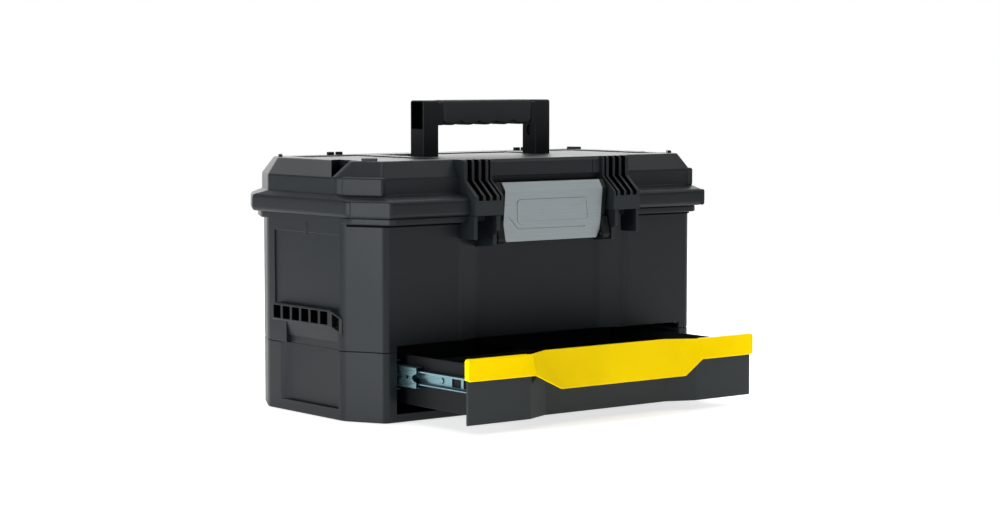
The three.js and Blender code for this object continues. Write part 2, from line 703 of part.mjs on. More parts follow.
// ---- Latch --------------------------------------------------------------------------------------
function latchLever() {
  const { pivotY, pivotZ, barrelR, halfX, topZ } = LATCH;
  const front = [
    [-123.7, topZ],
    [-129.6, 234.8],
    [-125, 190],
  ];
  const outline = [...front, [-119, 188], [-115.5, 236], [-116.5, topZ]];
  const hollow = [
    [-118, 196],
    [-113, 196],
    [-113, 238],
    [-119.5, 238],
  ];
  const hollowHalfX = 60;
  let lever = cut(alongX(outline, -halfX, halfX), alongX(hollow, -hollowHalfX, hollowHalfX));
  for (const side of [-1, 1]) {
    const x = [side * 67.5, side * 76.5];
    const cheek = [
      [pivotY, pivotZ - barrelR * 0.5],
      [-120, 188],
      [-120, 204],
      [-129, 204],
      [pivotY - barrelR, pivotZ],
    ];
    lever = join(lever, alongX(cheek, ...x), rod("x", barrelR, ...x, [pivotY, pivotZ]));
    lever = cut(lever, rod("x", BORE.latch, side * 66, side * 78, [pivotY, pivotZ], 12));
  }
  return lever;
}

const COVER = {
  thick: 1.9,
  top: -126,
  bend: { y: -132, z: 234.5 },
  foot: { y: -127.2, z: 181 },
  taper: { x: 5, z: 10 },
};

// The metal cover on the latch, bent along a line near its top and tapered at its bottom corners.
function latchPlate() {
  const { plateHalfX, topZ } = LATCH;
  const { thick, top, bend, foot, taper } = COVER;
  const front = [
    [top, topZ],
    [bend.y, bend.z],
    [foot.y, foot.z],
  ];
  const back = front.map(([y, z]) => [y + thick, z]).reverse();
  let plate = alongX([...front, ...back], -plateHalfX, plateHalfX);
  for (const side of [-1, 1]) {
    const corner = [
      [plateHalfX + 1, foot.z + taper.z + 2],
      [plateHalfX, foot.z + taper.z],
      [plateHalfX - taper.x, foot.z],
      [plateHalfX - taper.x, foot.z - 1],
      [plateHalfX + 1, foot.z - 1],
    ];
    const through = [bend.y - 1, bend.y + 10];
    plate = cut(plate, alongY(corner.map(([x, z]) => [side * x, z]), ...through));
  }
  return plate;
}

function latchPin(side) {
  const [inner, outer] = [LATCH.plateHalfX + 1.5, BRACKET.columnX[1] - 0.5];
  return rod("x", LATCH_PIN_R, side * inner, side * outer, [LATCH.pivotY, LATCH.pivotZ], 12);
}

// ---- Tray ---------------------------------------------------------------------------------------
function toteTray() {
  const { halfX, halfY, z0, z1, wall, rim } = TRAY;
  const plan = { halfX, halfY, chamferX: 22, chamferY: 34 };
  const spine = 4;
  const ear = { x: 226, halfY: 48 };
  const divider = { x: 95, top: z1 - 4 };
  let tray = cut(prism(octagon(plan), z0, z1), prism(octagon(plan, wall), z0 + wall, z1 + 1));
  for (const side of [-1, 1]) {
    const earX = [side * (halfX - 1), side * ear.x];
    const dividerX = [side * divider.x, side * (divider.x + wall)];
    tray = join(
      tray,
      block(earX, [-ear.halfY, ear.halfY], [z1 - rim, z1]),
      block(dividerX, [-halfY + 1, -1], [z0 + 1, divider.top]),
    );
  }
  return join(tray, block([-halfX + 1, halfX - 1], [-spine / 2, spine / 2], [z0 + 1, z1]));
}

// ---- Assembly -----------------------------------------------------------------------------------
const toolbox = new THREE.Group();
const lid = new THREE.Group();
const drawer = new THREE.Group();
drawer.position.y = -DRAWER_OPEN;

toolbox.add(named("bin_shell", binShell(), "shell"));
toolbox.add(named("drawer_housing", drawerHousing(), "shell"));
toolbox.add(named("tote_tray", toteTray(), "darkShell"));

lid.add(named("lid_shell", lidShell(), "shell"));
lid.add(named("handle_frame", handleFrame(), "darkShell"));
lid.add(named("handle_grip", handleGrip(), "soft"));

toolbox.add(named("latch_lever", latchLever(), "darkShell"));
toolbox.add(named("latch_plate", latchPlate(), "plate"));

drawer.add(named("drawer_tub", drawerTub(), "darkShell"));
drawer.add(named("drawer_fascia", drawerFascia(), "shell"));
drawer.add(named("drawer_pull", drawerPull(), "pull"));
drawer.add(named("drawer_divider_long", drawerDivider(-178, 178, -4, -2), "darkShell"));
drawer.add(named("drawer_divider_left", drawerDivider(-92, -90, -93, -4.4), "darkShell"));
drawer.add(named("drawer_divider_right", drawerDivider(64, 66, -93, -4.4), "darkShell"));
drawer.add(named("drawer_divider_rear", drawerDivider(-20, -18, -1.6, 101), "darkShell"));

for (const [word, side] of Object.entries(SIDES)) {
  lid.add(named(`handle_pin_${word}`, handlePin(side), "zinc"));
  toolbox.add(named(`latch_pin_${word}`, latchPin(side), "zinc"));
  const [hingeIn, hingeOut] = [HINGE_EARS[0][0] + 0.5, HINGE_EARS[1][1] - 0.5];
  const hinge = rod("x", HINGE_PIN_R, side * hingeIn, side * hingeOut, [LID_HINGE.y, LID_HINGE.z], 12);
  toolbox.add(named(`hinge_pin_${word}`, hinge, "zinc"));

  toolbox.add(named(`slide_outer_${word}`, slideMember(side, SLIDE_OUTER, OUTER_SCREWS), "zinc"));
  drawer.add(named(`slide_inner_${word}`, slideMember(side, SLIDE_INNER, INNER_SCREWS), "zinc"));
  const middle = named(`slide_middle_${word}`, slideMember(side, SLIDE_MIDDLE), "zinc");
  middle.position.y = -DRAWER_OPEN / 2;
  const outer = named(`ball_cage_outer_${word}`, ballCage(side, CAGE_OUTER), "zinc");
  outer.position.y = -DRAWER_OPEN / 4;
  const inner = named(`ball_cage_inner_${word}`, ballCage(side, CAGE_INNER), "zinc");
  inner.position.y = (-DRAWER_OPEN * 3) / 4;
  toolbox.add(middle, outer, inner);

  for (const [end, i] of [["front", 0], ["rear", 1]]) {
    const outerScrew = slideScrew(side, OUTER_SCREWS[i], 191.9, 199);
    toolbox.add(named(`slide_screw_outer_${end}_${word}`, outerScrew, "zinc"));
    const innerScrew = slideScrew(side, INNER_SCREWS[i], 183.9, 177.8);
    drawer.add(named(`slide_screw_inner_${end}_${word}`, innerScrew, "zinc"));
    const post = [side * SCREW_POST.x, (i ? 1 : -1) * SCREW_POST.y];
    toolbox.add(named(`housing_screw_${end}_${word}`, housingScrew(post), "zinc"));
  }
}

toolbox.add(lid, drawer);

export default toolbox;
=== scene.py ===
"""The looks of a toolbox with a drawer: moulded shells, silver latch cover, yellow pull and zinc slides.

Sizes are in millimetres in the part's frame, and each mesh is scaled to metres as it is made. Lights
and the camera are placed in metres.
"""

import math

import bmesh
import bpy
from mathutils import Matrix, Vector


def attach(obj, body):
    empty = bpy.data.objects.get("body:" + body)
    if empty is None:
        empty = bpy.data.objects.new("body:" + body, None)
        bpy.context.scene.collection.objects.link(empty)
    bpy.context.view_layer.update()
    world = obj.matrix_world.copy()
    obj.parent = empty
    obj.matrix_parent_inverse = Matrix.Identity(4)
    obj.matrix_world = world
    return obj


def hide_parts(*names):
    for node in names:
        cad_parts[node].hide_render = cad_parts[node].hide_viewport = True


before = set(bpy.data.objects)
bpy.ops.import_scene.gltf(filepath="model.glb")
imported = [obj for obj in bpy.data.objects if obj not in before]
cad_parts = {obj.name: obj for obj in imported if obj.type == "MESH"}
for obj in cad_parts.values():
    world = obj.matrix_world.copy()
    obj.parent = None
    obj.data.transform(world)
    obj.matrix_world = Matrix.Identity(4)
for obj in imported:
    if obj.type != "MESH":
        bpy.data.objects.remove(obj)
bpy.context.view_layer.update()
MM = 0.001
SIDES = (("left", -1), ("right", 1))
WHITE = (1, 1, 1)


# ---- Camera -------------------------------------------------------------------------------------
def add_camera():
    data = bpy.data.cameras.new("camera")
    data.sensor_width = 36
    data.lens = 86.56
    camera = bpy.data.objects.new("camera", data)
    camera.location = (-1.6250, -2.1077, 0.3602)
    camera.rotation_euler = (math.radians(85.48), 0, math.radians(-38.13))
    bpy.context.scene.collection.objects.link(camera)
    bpy.context.scene.camera = camera


# ---- Materials ----------------------------------------------------------------------------------
FLOOR_GLOW = 0.7

# The sharpness of an edge from which the painted highlight starts to show, and at which it is at its
# fullest.
HIGHLIGHT_FROM = 0.52
HIGHLIGHT_TO = 0.62


def shader(name):
    """A new material: its nodes, its links and its Principled shader."""
    material = bpy.data.materials.new(name)
    material.use_nodes = True
    tree = material.node_tree
    return material, tree.nodes, tree.links, tree.nodes["Principled BSDF"]


def noise(nodes, links, scale, detail=2.0, stretch=(1, 1, 1)):
    """A noise pattern in object space, finer as scale grows."""
    place = nodes.new("ShaderNodeTexCoord")
    mapping = nodes.new("ShaderNodeMapping")
    mapping.inputs["Scale"].default_value = stretch
    pattern = nodes.new("ShaderNodeTexNoise")
    pattern.inputs["Scale"].default_value = scale
    pattern.inputs["Detail"].default_value = detail
    links.new(place.outputs["Object"], mapping.inputs["Vector"])
    links.new(mapping.outputs["Vector"], pattern.inputs["Vector"])
    return pattern.outputs["Fac"]


def spread(nodes, links, value, low, high):
    """Spreads a 0.3 to 0.7 pattern over the range from low to high."""
    ramp = nodes.new("ShaderNodeMapRange")
    ramp.inputs["From Min"].default_value = 0.3
    ramp.inputs["From Max"].default_value = 0.7
    ramp.inputs["To Min"].default_value = low
    ramp.inputs["To Max"].default_value = high
    links.new(value, ramp.inputs["Value"])
    return ramp.outputs["Result"]


def tint(nodes, links, factor, dark, light):
    """A colour between dark and light, as factor goes from 0 to 1."""
    mix = nodes.new("ShaderNodeMix")
    mix.data_type = "RGBA"
    mix.inputs["A"].default_value = (*dark, 1)
    mix.inputs["B"].default_value = (*light, 1)
    links.new(factor, mix.inputs["Factor"])
    return mix.outputs["Result"]


def bumped(nodes, links, height, strength, distance):
    """A normal that follows a height pattern."""
    bump = nodes.new("ShaderNodeBump")
    bump.inputs["Strength"].default_value = strength
    bump.inputs["Distance"].default_value = distance
    links.new(height, bump.inputs["Height"])
    return bump.outputs["Normal"]


def moulded(name, color, rough=0.5, grain=0.12, specular=0.5, grain_scale=900):
    """Injection-moulded plastic: fine spark-eroded grain, cloudy gloss, painted edge highlights."""
    material, nodes, links, base = shader(name)
    base.inputs["Specular IOR Level"].default_value = specular
    cloud = noise(nodes, links, 7, 4)
    links.new(spread(nodes, links, cloud, rough - 0.05, rough + 0.05), base.inputs["Roughness"])
    dark, light = [c * 0.9 for c in color], [c * 1.1 for c in color]
    body = tint(nodes, links, spread(nodes, links, cloud, 0, 1), dark, light)
    # Painted highlight: the sharper an edge, the paler its colour, as if it caught the light.
    geometry = nodes.new("ShaderNodeNewGeometry")
    edge = nodes.new("ShaderNodeMapRange")
    edge.inputs["From Min"].default_value = HIGHLIGHT_FROM
    edge.inputs["From Max"].default_value = HIGHLIGHT_TO
    edge.inputs["To Max"].default_value = 0.5
    links.new(geometry.outputs["Pointiness"], edge.inputs["Value"])
    edge_highlight = nodes.new("ShaderNodeMix")
    edge_highlight.data_type = "RGBA"
    edge_highlight.inputs["B"].default_value = (*[c * 1.8 + 0.004 for c in color], 1)
    links.new(body, edge_highlight.inputs["A"])
    links.new(edge.outputs["Result"], edge_highlight.inputs["Factor"])
    links.new(edge_highlight.outputs["Result"], base.inputs["Base Color"])
    fine = noise(nodes, links, grain_scale, 3)
    links.new(bumped(nodes, links, fine, grain, 0.0003), base.inputs["Normal"])
    return material


def brushed(name, color, rough, along, painted_reflection=0.0):
    """Metal with fine lines along one axis, whose dark lines may carry painted dark reflections."""
    material, nodes, links, base = shader(name)
    base.inputs["Metallic"].default_value = 1.0
    stretch = [60.0 if axis != along else 1.5 for axis in "xyz"]
    lines = noise(nodes, links, 22, 3, stretch)
    links.new(spread(nodes, links, lines, rough - 0.07, rough + 0.08), base.inputs["Roughness"])
    # Painted reflection: the last argument darkens the dark lines further, like reflections of a dark
    # room.
    dark, light = [c * (0.88 - painted_reflection) for c in color], [c * 1.08 for c in color]
    shade = tint(nodes, links, spread(nodes, links, lines, 0, 1), dark, light)
    links.new(shade, base.inputs["Base Color"])
    links.new(bumped(nodes, links, lines, 0.03, 0.0002), base.inputs["Normal"])
    return material


def pale_floor():
    material, nodes, links, base = shader("floor_paper")
    paper = tint(nodes, links, noise(nodes, links, 3), (0.86, 0.86, 0.86), (0.9, 0.9, 0.9))
    links.new(paper, base.inputs["Base Color"])
    base.inputs["Roughness"].default_value = 0.9
    base.inputs["Specular IOR Level"].default_value = 0.1
    base.inputs["Emission Color"].default_value = (*WHITE, 1)
    base.inputs["Emission Strength"].default_value = FLOOR_GLOW
    return material


LOOKS = {
    "shell": moulded("shell_plastic", (0.0085, 0.0115, 0.0135), 0.45, 0.14, 0.25),
    "inner": moulded("inner_plastic", (0.004, 0.005, 0.006), 0.5, 0.08, 0.2),
    "fascia": moulded("fascia_plastic", (0.021, 0.0265, 0.0275), 0.5, 0.14, 0.22),
    # Near-black plastic of painted shade, for sheets put in slots, cores, under the lip and in the
    # handle legs.
    "shade": moulded("painted_shade_plastic", (0.0012, 0.0013, 0.0014), 0.9, 0.05, 0.02),
    "handle": moulded("handle_plastic", (0.0058, 0.0075, 0.0085), 0.5, 0.1, 0.2),
    "grip": moulded("soft_grip", (0.013, 0.015, 0.017), 0.6, 0.3, 0.35, 500),
    "pull": moulded("pull_plastic", (1.0, 0.70, 0.0), 0.42, 0.05, 0.02),
    "latch": brushed("latch_metal", (0.262, 0.29, 0.302), 0.46, "x"),
    # Zinc: its dark lines are darkened by 0.3 more, as painted dark reflections.
    "zinc": brushed("zinc_steel", (0.26, 0.43, 0.48), 0.32, "y", 0.3),
}


# ---- Meshes -------------------------------------------------------------------------------------
def link(bm):
    """Turns a bmesh in millimetres into an object in metres."""
    bmesh.ops.recalc_face_normals(bm, faces=bm.faces)
    mesh = bpy.data.meshes.new("mesh")
    obj = bpy.data.objects.new("mesh", mesh)
    put_back(obj, bm)
    bpy.context.scene.collection.objects.link(obj)
    return obj


def edited(obj):
    """The object's mesh as a bmesh in millimetres."""
    bm = bmesh.new()
    bm.from_mesh(obj.data)
    bmesh.ops.scale(bm, vec=(1 / MM, 1 / MM, 1 / MM), verts=bm.verts)
    return bm


def put_back(obj, bm):
    bmesh.ops.scale(bm, vec=(MM, MM, MM), verts=bm.verts)
    bm.to_mesh(obj.data)
    bm.free()


def sharp_edges(bm, least=25):
    limit = math.radians(least)
    return [e for e in bm.edges if len(e.link_faces) == 2 and e.calc_face_angle(0) > limit]


def passes(edge, where):
    """Whether an edge passes a test of its middle and its direction."""
    start, end = edge.verts[0].co, edge.verts[1].co
    return where((start + end) / 2, (end - start).normalized())


def soften(obj, radius, segments=3, where=None, least=25):
    """Rounds an object's sharp edges, or only those that pass a test."""
    bm = edited(obj)
    edges = sharp_edges(bm, least)
    if where:
        edges = [edge for edge in edges if passes(edge, where)]
    bmesh.ops.bevel(
        bm, geom=edges, offset=radius, offset_type="OFFSET", segments=segments, profile=0.5,
        affect="EDGES", clamp_overlap=False, loop_slide=True,
    )
    put_back(obj, bm)
    return obj


def rings(levels):
    """A closed body through a row of matching rings of points."""
    bm = bmesh.new()
    made = [[bm.verts.new(p) for p in level] for level in levels]
    for low, high in zip(made, made[1:]):
        count = len(low)
        for i in range(count):
            j = (i + 1) % count
            bm.faces.new((low[i], low[j], high[j], high[i]))
    bm.faces.new(made[0])
    bm.faces.new(made[-1])
    return link(bm)


def prism(points, low, high, axis="z", radius=0.0, segments=3):
    """A polygon swept along an axis. Its points are (x, y), (y, z) along x, or (x, z) along y."""
    place = {
        "z": lambda a, b, t: (a, b, t),
        "x": lambda a, b, t: (t, a, b),
        "y": lambda a, b, t: (a, t, b),
    }[axis]
    bm = bmesh.new()
    ends = [[bm.verts.new(place(a, b, t)) for a, b in points] for t in (low, high)]
    for end in ends:
        bm.faces.new(end)
    count = len(points)
    for i in range(count):
        j = (i + 1) % count
        bm.faces.new((ends[0][i], ends[0][j], ends[1][j], ends[1][i]))
    obj = link(bm)
    return soften(obj, radius, segments) if radius else obj


def rectangle(x, y):
    return [(x[0], y[0]), (x[1], y[0]), (x[1], y[1]), (x[0], y[1])]


def block(x, y, z, radius=0.0, segments=3):
    return prism(rectangle(x, y), z[0], z[1], "z", radius, segments)


def rod(axis, radius, low, high, centre, sides=32, rounding=0.0):
    turn = [2 * math.pi * i / sides for i in range(sides)]
    points = [(centre[0] + radius * math.cos(t), centre[1] + radius * math.sin(t)) for t in turn]
    return prism(points, low, high, axis, rounding, 2)


def hull(points, radius=0.0, segments=3):
    bm = bmesh.new()
    for p in points:
        bm.verts.new(p)
    bmesh.ops.convex_hull(bm, input=bm.verts)
    bmesh.ops.dissolve_limit(bm, angle_limit=math.radians(0.5), verts=bm.verts, edges=bm.edges)
    obj = link(bm)
    return soften(obj, radius, segments) if radius else obj


def span(side, near, far):
    """Two distances from the middle as x values on one side of it, lower value first."""
    return sorted((side * near, side * far))


def arc(centre, radius, start, end, steps):
    """Points on an arc, with its angles in degrees."""
    turn = [math.radians(start + (end - start) * i / steps) for i in range(steps + 1)]
    return [(centre[0] + radius * math.cos(t), centre[1] + radius * math.sin(t)) for t in turn]


def octagon(half_x, half_y, chamfer_x, chamfer_y, inset=0.0):
    """An eight-sided outline, moved inwards all round by inset."""
    slack = math.hypot(chamfer_x, chamfer_y) - chamfer_x - chamfer_y
    x, y = half_x - inset, half_y - inset
    cx = chamfer_x + inset * slack / chamfer_y
    cy = chamfer_y + inset * slack / chamfer_x
    return [
        (-x + cx, -y), (x - cx, -y), (x, -y + cy), (x, y - cy),
        (x - cx, y), (-x + cx, y), (-x, y - cy), (-x, -y + cy),
    ]


def bend(before, corner, after, size, steps):
    """Points that round one corner, as a parabola that starts and ends size away from it."""
    a = corner + (before - corner).normalized() * size
    b = corner + (after - corner).normalized() * size
    points = []
    for i in range(steps + 1):
        t = i / steps
        points.append(a * (1 - t) ** 2 + corner * 2 * t * (1 - t) + b * t * t)
    return points


def bend_all(line, size, steps):
    """A closed line of points with every corner rounded."""
    count = len(line)
    points = []
    for i in range(count):
        points += bend(line[i - 1], line[i], line[(i + 1) % count], size, steps)
    return points


def rounded(points, radius, steps=4):
    """A flat outline with every corner rounded."""
    return [tuple(p) for p in bend_all([Vector(p) for p in points], radius, steps)]


def shell_loft(stations, corner, steps):
    """A closed body through (outline, z, rounding) stations, with every corner and break rounded."""
    columns = []
    outlines = [[Vector((x, y, z)) for x, y in outline] for outline, z, _ in stations]
    for i in range(len(outlines[0])):
        line = [outline[i] for outline in outlines]
        column = [line[0]]
        for k in range(1, len(line) - 1):
            column += bend(line[k - 1], line[k], line[k + 1], stations[k][2], steps)
        columns.append(column + [line[-1]])
    return rings([bend_all(level, corner, steps) for level in zip(*columns)])


def apply_modifiers(obj):
    graph = bpy.context.evaluated_depsgraph_get()
    mesh = bpy.data.meshes.new_from_object(obj.evaluated_get(graph))
    obj.modifiers.clear()
    obj.data = mesh


def combine(obj, tools, operation):
    """Adds tools to an object or cuts them from it, and removes the tools."""
    for tool in tools:
        step = obj.modifiers.new("step", "BOOLEAN")
        step.operation = operation
        step.solver = "EXACT"
        step.object = tool
        apply_modifiers(obj)
        bpy.data.objects.remove(tool)
    return obj


def add(obj, *tools):
    return combine(obj, tools, "UNION")


def cut(obj, *tools):
    return combine(obj, tools, "DIFFERENCE")


def moved(obj, y):
    """Shifts a mesh along Y, to where its body stands with the drawer open."""
    bm = edited(obj)
    bmesh.ops.translate(bm, vec=(0, y, 0), verts=bm.verts)
    put_back(obj, bm)
    return obj


# ---- Pieces -------------------------------------------------------------------------------------
# How near two corners are when they become one: in a CAD mesh, and in the seams of a cut.
CAD_WELD = 0.02
SEAM_WELD = 0.004


def clean(obj):
    """Welds the seams that cutting and joining leave, and makes flat faces whole."""
    bm = edited(obj)
    bmesh.ops.remove_doubles(bm, verts=bm.verts, dist=SEAM_WELD)
    bmesh.ops.dissolve_degenerate(bm, dist=SEAM_WELD, edges=bm.edges)
    bmesh.ops.dissolve_limit(bm, angle_limit=math.radians(0.3), verts=bm.verts, edges=bm.edges)
    put_back(obj, bm)


def smooth(obj, angle=30):
    """Smooth shading that keeps flat faces flat and real edges crisp."""
    obj.data.shade_smooth()
    obj.data.set_sharp_from_angle(angle=math.radians(angle))
    normals = obj.modifiers.new("normals", "WEIGHTED_NORMAL")
    normals.keep_sharp = True
    normals.weight = 100


def piece(name, obj, body, look, *nodes):
    """Names a finished object and hands it to the frame in place of CAD nodes."""
    obj.name = name
    obj.data.name = name
    obj.data.materials.clear()
    obj.data.materials.append(LOOKS[look])
    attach(obj, body)
    if nodes:
        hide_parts(*nodes)


def clean_copy(node):
    """A copy of a CAD node's mesh with its corners merged and its flat faces whole."""
    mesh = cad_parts[node].data.copy()
    mesh.materials.clear()
    obj = bpy.data.objects.new("copy", mesh)
    bpy.context.scene.collection.objects.link(obj)
    bm = edited(obj)
    bmesh.ops.remove_doubles(bm, verts=bm.verts, dist=CAD_WELD)
    bmesh.ops.dissolve_limit(bm, angle_limit=math.radians(0.6), verts=bm.verts, edges=bm.edges)
    put_back(obj, bm)
    return obj


def dressed(node, body, look, radius, least=25):
    """A CAD node in the given material, with every edge sharper than least degrees rounded."""
    obj = clean_copy(node)
    bm = edited(obj)
    weight = bm.edges.layers.float.new("bevel_weight_edge")
    for edge in sharp_edges(bm, least):
        edge[weight] = 1.0
    put_back(obj, bm)
    rounding = obj.modifiers.new("rounding", "BEVEL")
    rounding.limit_method = "WEIGHT"
    rounding.width = radius * MM
    rounding.segments = 3
    rounding.use_clamp_overlap = False
    rounding.harden_normals = False
    apply_modifiers(obj)
    smooth(obj)
    piece(node + "_skin", obj, body, look, node)


def keep(node, look, radius=0.0):
    """A CAD node that is shown as it is, with fine edges and its own material."""
    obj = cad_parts[node]
    obj.data.materials.clear()
    obj.data.materials.append(LOOKS[look])
    joined = obj.modifiers.new("joined", "WELD")
    joined.merge_threshold = CAD_WELD * MM
    if radius:
        rounding = obj.modifiers.new("rounding", "BEVEL")
        rounding.width = radius * MM
        rounding.segments = 2
        rounding.limit_method = "ANGLE"
        rounding.angle_limit = math.radians(35)
        rounding.use_clamp_overlap = True


# ---- Stage --------------------------------------------------------------------------------------
STUDIO_DARK = 0.06
STUDIO_BRIGHT = 2.8
COOL = (0.93, 0.965, 1.0)

# Each light's name, place, target, size, power and colour.
LIGHTS = (
    ("key_left", (-2.5, -0.35, 0.3), (0, 0, 0.1), (1.1, 1.1), 44, COOL),
    ("front_low", (-0.4, -2.5, 0.35), (0, 0, 0.15), (0.6, 0.6), 5.5, COOL),
    ("cover_top", (1.7, -1.3, 1.95), (0, -0.1, 0.24), (1.3, 1.3), 12, WHITE),
    ("top", (0.0, 0.3, 2.4), (0, 0, 0), (2.4, 2.0), 45, WHITE),
)


def area_light(name, place, target, size, power, color):
    data = bpy.data.lights.new(name, "AREA")
    data.shape = "RECTANGLE"
    data.size, data.size_y = size
    data.energy = power
    data.color = color
    light = bpy.data.objects.new(name, data)
    light.location = place
    light.rotation_euler = (Vector(target) - Vector(place)).to_track_quat("-Z", "Y").to_euler()
    bpy.context.scene.collection.objects.link(light)


def add_stage():
    floor = block((-3000, 3000), (-3000, 3000), (-20, -0.5))
    floor.name = "floor"
    floor.data.materials.append(pale_floor())
    add_studio()
    bpy.context.scene.view_settings.view_transform = "Standard"
    for light in LIGHTS:
        area_light(*light)


def add_studio():
    """A studio that is bright behind the object and dim towards the front, on a white backdrop."""
    world = bpy.data.worlds.new("studio")
    world.use_nodes = True
    nodes, links = world.node_tree.nodes, world.node_tree.links
    background = nodes["Background"]
    direction = nodes.new("ShaderNodeTexCoord")
    towards_back = nodes.new("ShaderNodeVectorMath")
    towards_back.operation = "DOT_PRODUCT"
    towards_back.inputs[1].default_value = Vector((0.6, 0.79, 0.1)).normalized()
    ramp = nodes.new("ShaderNodeMapRange")
    ramp.interpolation_type = "SMOOTHSTEP"
    ramp.inputs["From Min"].default_value = 0.5
    ramp.inputs["From Max"].default_value = 0.97
    ramp.inputs["To Min"].default_value = STUDIO_DARK
    ramp.inputs["To Max"].default_value = STUDIO_BRIGHT
    links.new(direction.outputs["Generated"], towards_back.inputs[0])
    links.new(towards_back.outputs["Value"], ramp.inputs["Value"])
    rays = nodes.new("ShaderNodeLightPath")
    backdrop = nodes.new("ShaderNodeMix")
    backdrop.inputs["B"].default_value = 1.0
    links.new(rays.outputs["Is Camera Ray"], backdrop.inputs["Factor"])
    links.new(ramp.outputs["Result"], backdrop.inputs["A"])
    links.new(backdrop.outputs["Result"], background.inputs["Strength"])
    background.inputs["Color"].default_value = (*WHITE, 1)
    bpy.context.scene.world = world


# ---- Sizes shared by several pieces --------------------------------------------------------------
# A plan is a half length, a half depth and the two legs of its cut corners.
FLANGE = (240.5, 132.2, 26, 44)
DOME = (235.5, 113, 23.5, 49)
CROWN = (218, 101.8, 14.8, 30.9)
BODY = (232.7, 115, 24, 44)
LIP = (232.6, 127, 24, 44)
END_X = BODY[0]
FRONT_Y = -BODY[1]
WALL = 3
GAP = 0.3

# Heights, from the bench up. Cutting tools run past the part, to CLEAR_Z.
BAY_BOTTOM = 9
SLIDE_Z = 48.7
PARTING_Z = 72.9
BAY_TOP = 79.4
LIP_BOTTOM = 203.9
RIM_Z = 210.7
FLANGE_BOTTOM = 211
FLANGE_TOP = 228.5
DOME_FOOT = 234
SHOULDER_Z = 251
CROWN_Z = 268.6
CLEAR_Z = 280

# The step in the front wall, the drawer's opening and the drawer's travel.
RECESS_OUTER = 113
RECESS_INNER = 83
RECESS_DEPTH = 12
BAY_X = 195
DRAWER_OPEN = 117

# Pivots as (y, z), their bores, and the posts of the housing's screws.
HINGE = (138, 207)
HINGE_R = 5
HINGE_BORE = 2.8
LATCH_PIVOT = (-128, 184.7)
LATCH_BORE = 2.3
HANDLE_PIVOT = (-4, 262)
HANDLE_BORE = 3.3
POST_X = 212
POSTS_Y = (-62, 62)
POST_THREAD = 2.1
SLIDE_SCREW_BORE = 1.9


def body_plan(inset):
    """The bin's outline, whose front wall steps back behind the latch."""
    plan = octagon(*BODY, inset)
    front = FRONT_Y + inset
    back = front + RECESS_DEPTH
    step = [(-RECESS_OUTER, front), (-RECESS_INNER, back), (RECESS_INNER, back), (RECESS_OUTER, front)]
    return [plan[0]] + step + plan[1:]


def upright(middle, along):
    return abs(along.z) > 0.99


def at_height(z):
    return lambda middle, along: abs(middle.z - z) < 0.05


# ---- Lid ----------------------------------------------------------------------------------------
WELL_X = 89.5
WELL_LEG_X = 66
WELL_LEG_Y = (-17, 60)
WELL_BAR_Y = (34.5, 64.5)
WELL_FLOOR = 249
HANDLE_BORE_X = (62, 94)
NOSE_X = 77
PANEL_X = (110, 196)
PANEL_Y = 78
PANEL_DEPTH = 1.2

# Outlines on the right-hand side, as (x, y).
POCKET = ((235.6, -57), (218, -31), (208, -31), (208, -67), (218, -65))
CORNER_TAB = ((213, 78), (203, 92), (200, 89), (210, 75))

# Each pad on a front corner: plan, height of its face, reach past both ends, bottom, top, rounding.
CORNER_PADS = (
    (DOME, 3, 8, 2.5, 232.3, 252.4, 2.6),
    (FLANGE, 2, 5.5, 1.5, FLANGE_BOTTOM + 0.2, 229, 2.4),
)

REAR_HUMPS = ((121.5, 129.2), (132.6, 140.5))
HINGE_ARM_X = (116, 146)


def well_blocks(grow, floor, top):
    """The room of the folded handle: one long block for its bar and two for its legs."""
    x = WELL_X + grow
    blocks = [block((-x, x), (WELL_BAR_Y[0] - grow, WELL_BAR_Y[1] + grow), (floor, top))]
    for _, side in SIDES:
        leg = span(side, x, WELL_LEG_X - grow)
        blocks.append(block(leg, (WELL_LEG_Y[0] - grow, WELL_LEG_Y[1]), (floor, top)))
    return blocks


def corner_pad(side, plan, proud, start, over, low, high, radius):
    """A raised pad on a front corner's cut, from start past its outer end to over past its other."""
    half_x, half_y, chamfer_x, chamfer_y = plan
    near = Vector((half_x, half_y - chamfer_y))
    along = Vector((-chamfer_x, chamfer_y)).normalized()
    out = Vector((along.y, -along.x))
    length = math.hypot(chamfer_x, chamfer_y)
    sunk = -1.6 * proud
    corners = [near + along * d + out * reach for d in (start, length + over) for reach in (proud, sunk)]
    points = [(side * p.x, -p.y, z) for p in corners for z in (low, high)]
    return hull(points, radius, 5)


RIB_FRONT = -140.5
RIB_BLOCK_X = (77, 112)
RIBS_X = ((76, 78.6), (81.2, 84.8), (90.6, 93.8), (99.6, 102.8), (108.6, 113))
RIB_SLOTS_X = tuple((left[1], right[0]) for left, right in zip(RIBS_X, RIBS_X[1:]))


def rib_block(side):
    """The ribs beside the latch, and the body behind them."""
    back = [(-111, FLANGE_BOTTOM), (-111, SHOULDER_Z), (-99.5, 266.5), (-97, CROWN_Z)]
    rib_face = [(-119.5, CROWN_Z), (-121.5, 266.5), (-121.5, 247), (RIB_FRONT, 231), (RIB_FRONT, 223.5)]
    slot_floor = [(-113, CROWN_Z), (-113, 244.6), (RIB_FRONT, 226)]
    foot = [(RIB_FRONT, FLANGE_BOTTOM)]
    parts = [prism(back + slot_floor + foot, *span(side, *RIB_BLOCK_X), "x")]
    for ends in RIBS_X:
        rib = prism(back + rib_face + foot, *span(side, *ends), "x")
        parts.append(soften(rib, 0.5, 2, lambda m, d: m.z > 228 and m.y < -114))
    return parts


